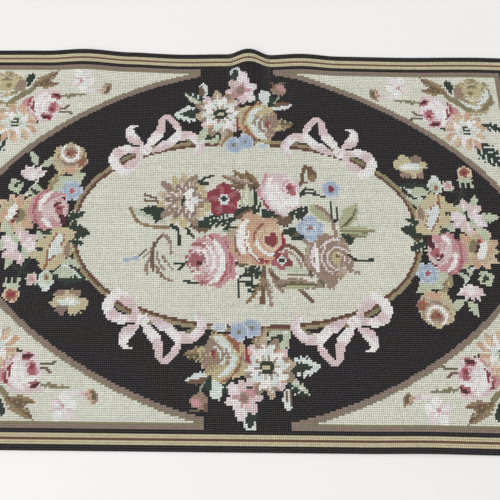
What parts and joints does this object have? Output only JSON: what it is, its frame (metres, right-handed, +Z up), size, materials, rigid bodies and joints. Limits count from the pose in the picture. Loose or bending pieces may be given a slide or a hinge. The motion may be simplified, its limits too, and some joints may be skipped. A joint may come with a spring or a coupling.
{
  "type": "needlepoint tapestry panel",
  "caption": "Flat rectangular needlepoint panel of wool stitched on canvas, slightly out of square, with a low fold ridge and a few puckers along its long edges.",
  "frame": {"origin": "middle of the panel's outline, on the surface that the panel lies on", "axes": "+X along the rows of stitches, the long way; +Y up the design, towards the edge with the fold ridge; +Z up through the stitched face"},
  "size_m": [0.943, 0.6168, 0.0124],
  "materials": {
    "wool": "matte wool tent stitch in dark brown, cream, rose, gold, green and blue yarns"
  },
  "bodies": {
    "root": {"needlepoint_panel": "wool"}
  },
  "joints": []
}
